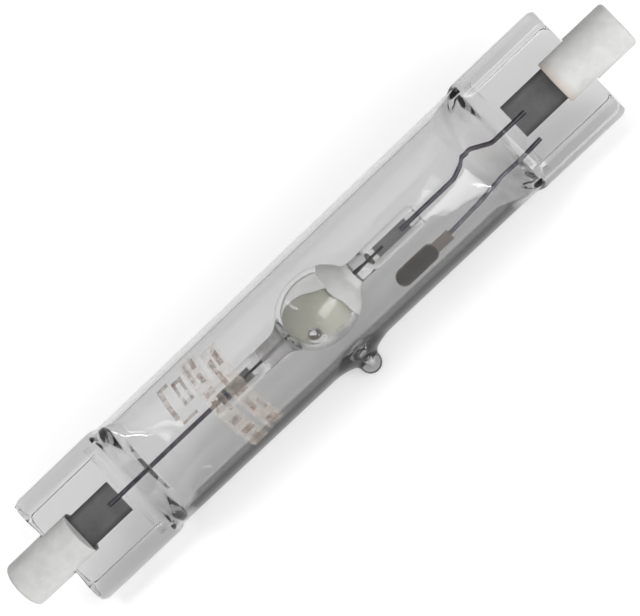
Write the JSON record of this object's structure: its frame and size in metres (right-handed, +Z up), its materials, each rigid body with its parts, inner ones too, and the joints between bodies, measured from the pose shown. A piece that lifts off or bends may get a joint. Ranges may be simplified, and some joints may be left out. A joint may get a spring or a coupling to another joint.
{
  "type": "double-ended metal halide lamp",
  "caption": "Double-ended quartz metal halide lamp: tubular jacket pinched flat at both ends, inner arc tube with getter, slotted ceramic caps with recessed contacts.",
  "frame": {"origin": "on the ground under the lamp's middle (middle of the box's underside); the lamp's axis is 10.75 mm above it", "axes": "+X along the lamp, towards the end with the getter; +Z up; the lamp lies on its tube and on its exhaust tip, which points to -Y and down at 45 degrees"},
  "size_m": [0.137, 0.0214, 0.0215],
  "materials": {
    "jacket_quartz": "clear fused quartz, fire polished, faintly grey",
    "burner_quartz": "clear fused quartz, both ends coated matt white",
    "tungsten": "dark drawn tungsten",
    "foil_metal": "dull molybdenum foil, darker at its edges",
    "wire_metal": "drawn molybdenum wire, slightly purplish",
    "contact_metal": "nickel, satin",
    "getter_metal": "dark heat-tinted iron",
    "getter_pellet": "pressed powder, brown black",
    "cap_ceramic": "unglazed steatite, white, matt",
    "cement": "brownish mineral cement, rough",
    "halide_salts": "frozen yellow-green salts, frosted",
    "mercury": "liquid metal bead"
  },
  "bodies": {
    "root": {"outer_jacket": "jacket_quartz", "burner_vessel": "burner_quartz", "electrode_rod_left": "tungsten", "electrode_rod_right": "tungsten", "electrode_coil_left": "tungsten", "electrode_coil_right": "tungsten", "burner_foil_left": "foil_metal", "burner_foil_right": "foil_metal", "seal_foil_left": "foil_metal", "seal_foil_right": "foil_metal", "lead_left": "wire_metal", "lead_right": "wire_metal", "contact_pin_left": "wire_metal", "contact_pin_right": "wire_metal", "ceramic_cap_left": "cap_ceramic", "ceramic_cap_right": "cap_ceramic", "cement_left": "cement", "cement_right": "cement", "contact_button_left": "contact_metal", "contact_button_right": "contact_metal", "getter_holder": "getter_metal", "getter_pellet": "getter_pellet", "getter_wire": "wire_metal", "halide_deposit": "halide_salts", "mercury_bead": "mercury"}
  },
  "joints": []
}
